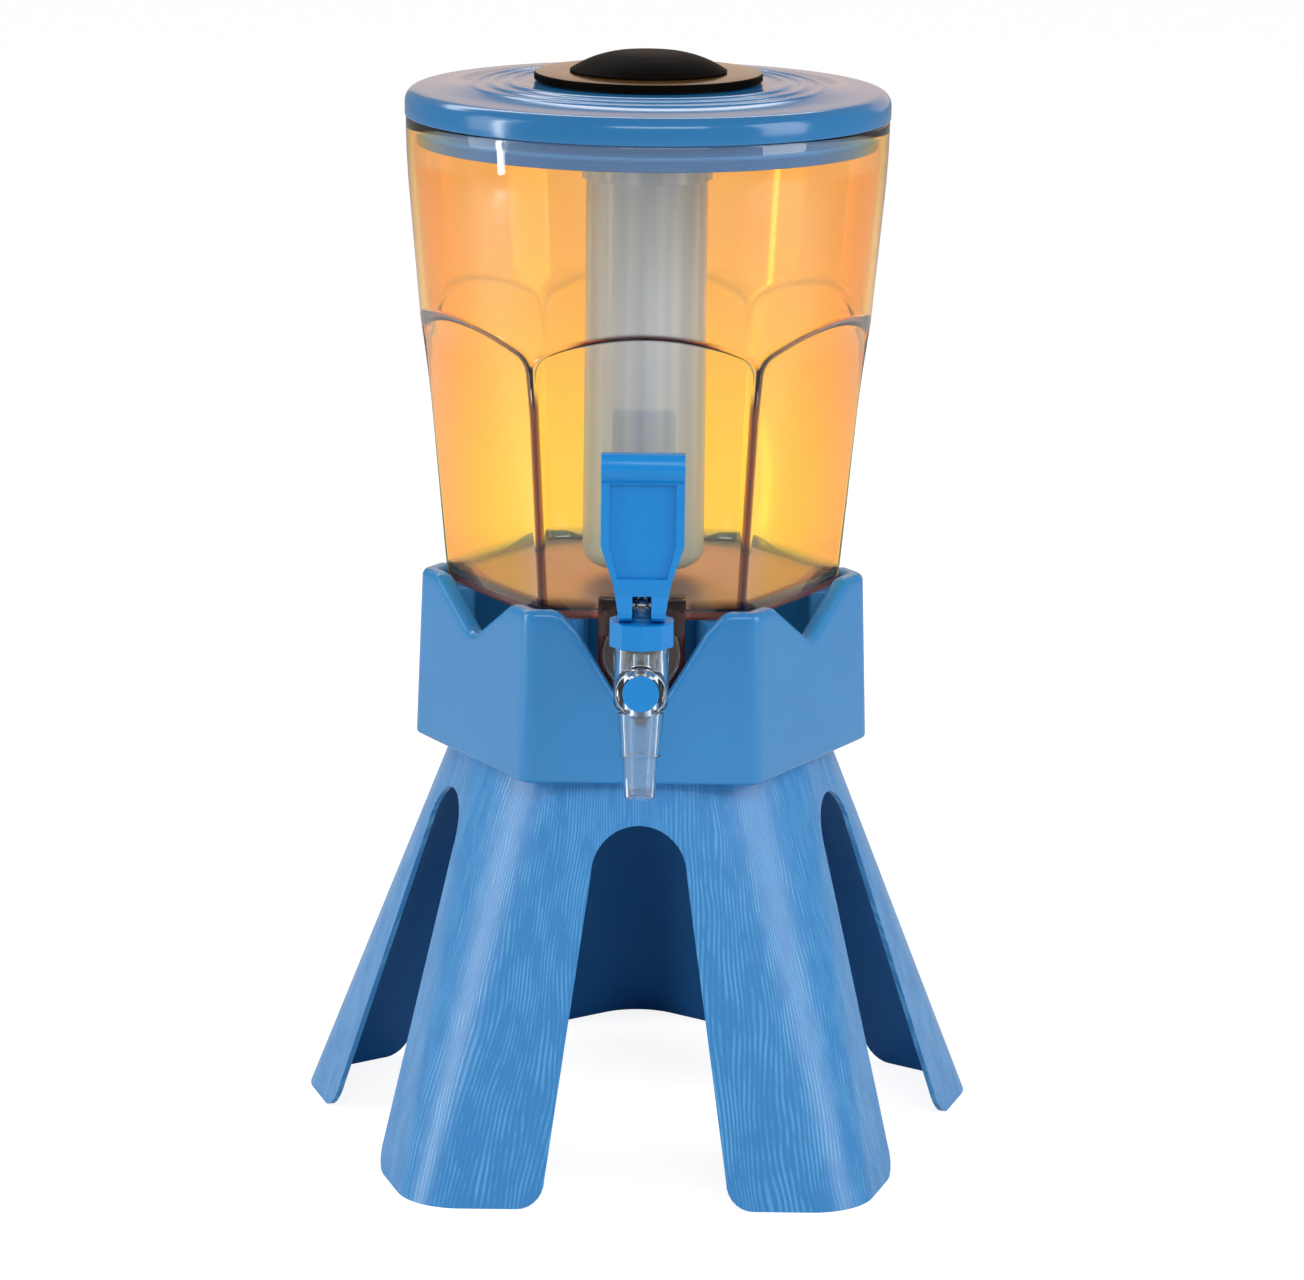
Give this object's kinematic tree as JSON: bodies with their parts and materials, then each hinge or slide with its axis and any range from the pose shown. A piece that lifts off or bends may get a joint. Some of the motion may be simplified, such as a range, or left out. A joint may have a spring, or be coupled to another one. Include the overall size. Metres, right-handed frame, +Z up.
{
  "type": "beverage tower dispenser",
  "caption": "Tabletop beverage tower with a clear tank on a splayed leg skirt, a crown collar, a self-closing lever tap, a lid and a hanging ice tube.",
  "frame": {"origin": "on the table, under the centre of the box round the part", "axes": "+Z up, -Y towards the user and the tap, +X to the user's right"},
  "size_m": [0.2504, 0.2406, 0.3999],
  "materials": {
    "skirt_plastic": "satin moulded wood grain",
    "blue_plastic": "smooth moulded",
    "lever_plastic": "smooth moulded",
    "clear_tank": "clear moulded",
    "clear_tap": "clear moulded",
    "white_plastic": "smooth moulded",
    "black_plastic": "polished",
    "tube_plastic": "clear moulded",
    "seal_rubber": "moulded silicone",
    "steel": "bright"
  },
  "bodies": {
    "stand": {"leg_skirt": "skirt_plastic", "crown_collar": "blue_plastic", "collar_screws": "steel"},
    "tank": {"tank_body": "clear_tank", "tap_body": "clear_tap", "tap_front_plug": "blue_plastic", "tap_outer_gasket": "seal_rubber", "tap_inner_gasket": "seal_rubber", "tap_lock_nut": "white_plastic", "tap_cap_nut": "blue_plastic", "return_spring": "steel"},
    "tap_stem": {"tap_stem": "clear_tap", "stem_seal_ring": "seal_rubber", "valve_seal": "seal_rubber", "lever_pin": "steel"},
    "tap_lever": {"tap_lever": "lever_plastic"},
    "lid": {"lid_shell": "blue_plastic", "lid_seal_ring": "seal_rubber"},
    "ice_cap": {"ice_cap": "black_plastic", "ice_cap_gasket": "seal_rubber"},
    "fill_plug": {"fill_plug": "black_plastic", "fill_plug_ring": "seal_rubber"},
    "ice_tube": {"ice_tube": "tube_plastic", "ice_tube_seal": "seal_rubber"}
  },
  "joints": [
    {"name": "tank_lift", "type": "slide", "parent": "stand", "child": "tank", "axis": [0, 0, 1], "range_m": [0, 0.05]},
    {"name": "stem_slide", "type": "slide", "parent": "tank", "child": "tap_stem", "axis": [0, 0, 1], "range_m": [0, 0.003], "stiffness_N_per_m": 600, "springref_m": -0.004, "deforming": ["return_spring"]},
    {"name": "lever_tilt", "type": "hinge", "parent": "tap_stem", "child": "tap_lever", "pos_m": [0, -0.10016, 0.217], "axis": [1, 0, 0], "range_deg": [0, 45]},
    {"name": "lid_lift", "type": "slide", "parent": "tank", "child": "lid", "axis": [0, 0, 1], "range_m": [0, 0.17]},
    {"name": "cap_lift", "type": "slide", "parent": "lid", "child": "ice_cap", "axis": [0, 0, 1], "range_m": [0, 0.185]},
    {"name": "plug_lift", "type": "slide", "parent": "ice_cap", "child": "fill_plug", "axis": [0, 0, 1], "range_m": [0, 0.02]},
    {"name": "tube_unscrew", "type": "hinge", "parent": "ice_cap", "child": "ice_tube", "pos_m": [0, -0.01016, 0.36], "axis": [0, 0, 1], "range_deg": [-540, 0]}
  ],
  "couplings": [
    {"joint": "lever_tilt", "follows": "stem_slide", "rad_per_m": 261.78}
  ]
}
